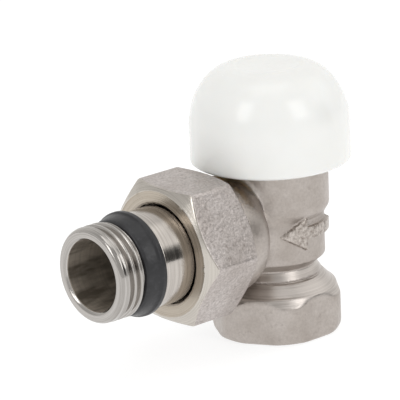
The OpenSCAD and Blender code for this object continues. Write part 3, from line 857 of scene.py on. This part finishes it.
# ---------- insert ----------
def insert_bonnet():
    top, low, root = HEAD_TOP, HEAD_LOW - 0.2, HEAD_R - HEAD_DEPTH
    hub_r, recess_r, recess_low = 8.3, HEAD_R - 3, top - 3
    gland_r, gland_low = 5.0, 47.2
    seal_r, seal_low = 3.4, 45.2
    pin_r, pin_low = 1.85, 43.8
    cavity_r, barrel_r, barrel_top = 6, CHAMBER_R - 0.3, 33.5
    spigot_r, neck_r = 9.4, 9.3
    hex_r, hex_low, hex_top = COLLAR_R - 0.6, HEX_LOW + 0.3, HEX_LOW + HEX_H + 0.2
    skin = Skin()
    skin.thread(low, top, HEAD_R, HEAD_DEPTH, HEAD_PITCH,
                [(low, root - 0.9), (low + 0.9, HEAD_R), (top - 1.0, HEAD_R), (top, root - 0.1)])
    skin.rows(soften(
        [(root - 0.1, top), (recess_r, top), (recess_r, recess_low), (hub_r, recess_low),
         (hub_r, top), (gland_r, top), (gland_r, gland_low), (seal_r, gland_low),
         (seal_r, seal_low), (pin_r, seal_low), (pin_r, pin_low), (cavity_r, pin_low),
         (cavity_r, INSERT_LOW), (barrel_r, INSERT_LOW), (barrel_r, barrel_top),
         (spigot_r, barrel_top + 0.3), (spigot_r, BODY_TOP - 1.3), (neck_r, BODY_TOP - 1.2),
         (neck_r, hex_low), (hex_r, hex_low), (hex_r, hex_top), (root - 0.9, hex_top),
         (root - 0.9, low)], 0.1, closed=False), closed=False)
    return skin


def insert_hexagon():
    flat_r, hole_r, top = COLLAR_R * math.cos(HALF_SIDE), 9.0, HEX_LOW + HEX_H
    face_r, back_r = flat_r - 0.4, flat_r - 0.1
    skin, rows = hexagon_skin(flat_r, 30, HEX_LOW, top, face_r, back_r, 0.3, 0.12)
    skin.rows(rows + [(hole_r, HEX_LOW), (hole_r, top), (face_r, top)], closed=False)
    return skin


turned_piece("insert_bonnet_turned", insert_bonnet(), "body", "insert_bonnet", "brass", [BRASS])
turned_piece("insert_bonnet_hexagon", insert_hexagon(), "body", "insert_bonnet", "brass", [BRASS])


# ---------- return spring ----------
WIRE_R, COILS, COIL_STEPS, WIRE_SIDES = 0.45, 5.0, 60, 16


def return_spring():
    """Points and faces of the coil: one closed turn at each end, and open turns between them."""
    mean = spring_high.x - WIRE_R
    low, high = spring_low.z + WIRE_R, spring_high.z - WIRE_R
    path = []
    for i in range(int((COILS + 1.0) * COIL_STEPS) + 1):
        turn = i / COIL_STEPS
        rise = np.interp(turn, [0, 0.8, COILS + 0.2, COILS + 1.0], [0, 0.14, 0.86, 1.0])
        path.append((mean * math.cos(turn * TAU), mean * math.sin(turn * TAU),
                     low + (high - low) * rise))
    path = np.array(path)
    ahead = np.gradient(path, axis=0)
    ahead /= np.linalg.norm(ahead, axis=1)[:, None]
    out = path * (1, 1, 0) / mean
    side = np.cross(ahead, out)
    points, faces = [], []
    for i in range(len(path)):
        for a in np.arange(WIRE_SIDES) / WIRE_SIDES * TAU:
            points.append(path[i] + WIRE_R * (math.cos(a) * out[i] + math.sin(a) * side[i]))
    for a in range(0, (len(path) - 1) * WIRE_SIDES, WIRE_SIDES):
        b = a + WIRE_SIDES
        for j in range(WIRE_SIDES):
            k = (j + 1) % WIRE_SIDES
            faces.append((a + j, a + k, b + k, b + j))
    faces.append(tuple(range(WIRE_SIDES - 1, -1, -1)))
    faces.append(tuple(range(len(points) - WIRE_SIDES, len(points))))
    points = np.array(points)
    points[:, 2] = np.clip(points[:, 2], spring_low.z, spring_high.z)     # ground ends
    return points, faces


spring = piece("return_spring_coil", *return_spring(), "body", "return_spring", "stainless",
               [STEEL], weight=False)
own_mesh(spring)

# ---------- CAD nodes whose shape is right ----------
CARRIED = {"stem_guide": BRASS, "packing_washer": PTFE, "gland_seal": FIBRE, "gland_nut": BRASS,
           "actuator_pin": STEEL, "valve_stem": STEEL, "spring_cup": BRASS, "stem_circlip": STEEL,
           "disc_holder": BRASS, "seal_disc": RUBBER, "seal_washer": STEEL, "seal_screw": STEEL,
           "cap_thrust_disc": STEEL}
for node, material in CARRIED.items():
    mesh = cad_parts[node].data
    mesh.materials.clear()
    mesh.materials.append(material)


# ---------- camera ----------
CAMERA_AZ, CAMERA_EL, CAMERA_ROLL = -41.67, 17.22, -2.43
CAMERA_DISTANCE, CAMERA_TARGET = 692.26, Vector((-21.2, 0, 34.14))
LENS, SENSOR = 290.0, 36.0


def direction(azimuth, elevation):
    """Unit vector from the object towards a place at that azimuth and elevation."""
    a, e = math.radians(azimuth), math.radians(elevation)
    return Vector((math.sin(a) * math.cos(e), -math.cos(a) * math.cos(e), math.sin(e)))


def add_camera():
    data = bpy.data.cameras.new("camera")
    data.lens, data.sensor_width = LENS, SENSOR
    data.clip_start, data.clip_end = 0.05, 20
    obj = bpy.data.objects.new("camera", data)
    bpy.context.scene.collection.objects.link(obj)
    back = direction(CAMERA_AZ, CAMERA_EL)
    a, r = math.radians(CAMERA_AZ), math.radians(CAMERA_ROLL)
    right = Vector((math.cos(a), math.sin(a), 0))
    up = back.cross(right)
    side = math.cos(r) * right + math.sin(r) * up
    top = -math.sin(r) * right + math.cos(r) * up
    turn = Matrix((side, top, back)).transposed().to_4x4()
    obj.matrix_world = Matrix.Translation((CAMERA_TARGET + back * CAMERA_DISTANCE) * MM) @ turn
    bpy.context.scene.camera = obj


add_camera()

# ---------- studio ----------
MIDDLE = Vector((-0.018, 0, 0.03))      # where the lights point, in metres


def soft_box(name, azimuth, elevation, distance, width, height, power):
    """An area light, its size and distance in metres and its power in watts."""
    data = bpy.data.lights.new(name, "AREA")
    data.shape, data.size, data.size_y = "RECTANGLE", width, height
    data.energy = power
    obj = bpy.data.objects.new(name, data)
    bpy.context.scene.collection.objects.link(obj)
    back = direction(azimuth, elevation)
    obj.location = MIDDLE + back * distance
    obj.rotation_mode = "QUATERNION"
    obj.rotation_quaternion = back.to_track_quat("Z", "Y")


soft_box("key_right", CAMERA_AZ + 48, 32, 0.75, 0.26, 0.40, 0.75)
soft_box("key_left", CAMERA_AZ - 42, 34, 0.75, 0.24, 0.40, 0.75)
soft_box("overhead", CAMERA_AZ, 84, 0.80, 0.55, 0.45, 0.75)


# Darker and lighter parts of the room round the set: azimuth, elevation, inner and outer angle in
# degrees, and brightness against the rest
ROOM = ((42, 8, 7, 22, 0.10), (58, 40, 10, 36, 1.75), (140, 24, 20, 70, 1.40))
# The room's brightness by height, from straight down at 0 to straight up at 1
SKY = ((0.0, 0.8), (0.50, 0.86), (0.60, 0.82), (0.75, 0.76), (1.0, 0.72))
ROOM_STRENGTH = 0.84
FLOOR_SIZE, FLOOR_GAP = 4.0, 0.0002     # in metres
FLOOR_GREY, FLOOR_GLOW = 0.33, 0.78


def studio_world():
    world = bpy.data.worlds.new("studio")
    world.use_nodes = True
    tree = world.node_tree
    back = tree.nodes["Background"]
    coords = tree.nodes.new("ShaderNodeTexCoord").outputs["Generated"]
    parts = tree.nodes.new("ShaderNodeSeparateXYZ")
    ramp = tree.nodes.new("ShaderNodeValToRGB")
    span = tree.nodes.new("ShaderNodeMapRange")
    span.inputs["From Min"].default_value = -1
    tree.links.new(coords, parts.inputs[0])
    tree.links.new(parts.outputs["Z"], span.inputs["Value"])
    tree.links.new(span.outputs["Result"], ramp.inputs["Fac"])
    stops = ramp.color_ramp.elements
    for height, _ in SKY[1:-1]:
        stops.new(height)
    for stop, (height, grey) in zip(sorted(stops, key=lambda e: e.position), SKY):
        stop.position = height
        stop.color = (grey, grey * 0.995, grey * 0.98, 1)
    light = ramp.outputs["Color"]
    for azimuth, elevation, inner, outer, factor in ROOM:
        toward = tree.nodes.new("ShaderNodeVectorMath")
        toward.operation = "DOT_PRODUCT"
        toward.inputs[1].default_value = direction(azimuth, elevation)
        tree.links.new(coords, toward.inputs[0])
        amount = tree.nodes.new("ShaderNodeMapRange")
        amount.interpolation_type = "SMOOTHSTEP"
        limits = (("From Min", math.cos(math.radians(outer))),
                  ("From Max", math.cos(math.radians(inner))), ("To Min", 1.0), ("To Max", factor))
        for key, limit in limits:
            amount.inputs[key].default_value = limit
        tree.links.new(toward.outputs["Value"], amount.inputs["Value"])
        scaled = tree.nodes.new("ShaderNodeVectorMath")
        scaled.operation = "SCALE"
        tree.links.new(light, scaled.inputs[0])
        tree.links.new(amount.outputs["Result"], scaled.inputs["Scale"])
        light = scaled.outputs["Vector"]
    tree.links.new(light, back.inputs["Color"])
    back.inputs["Strength"].default_value = ROOM_STRENGTH
    bpy.context.scene.world = world


def studio_floor():
    size = FLOOR_SIZE
    mesh = bpy.data.meshes.new("floor")
    mesh.from_pydata([(-size, -size, 0), (size, -size, 0), (size, size, 0), (-size, size, 0)], [],
                     [(0, 1, 2, 3)])
    paint = Paint("floor_white", Base_Color=(FLOOR_GREY, FLOOR_GREY, FLOOR_GREY, 1), Roughness=0.9,
                  Specular_IOR_Level=0.0, Emission_Color=(1, 1, 1, 1), Emission_Strength=FLOOR_GLOW)
    mesh.materials.append(paint.mat)
    obj = bpy.data.objects.new("floor", mesh)
    obj.location.z = -FLOOR_GAP
    bpy.context.scene.collection.objects.link(obj)


studio_world()
studio_floor()
bpy.context.scene.view_settings.view_transform = "Standard"
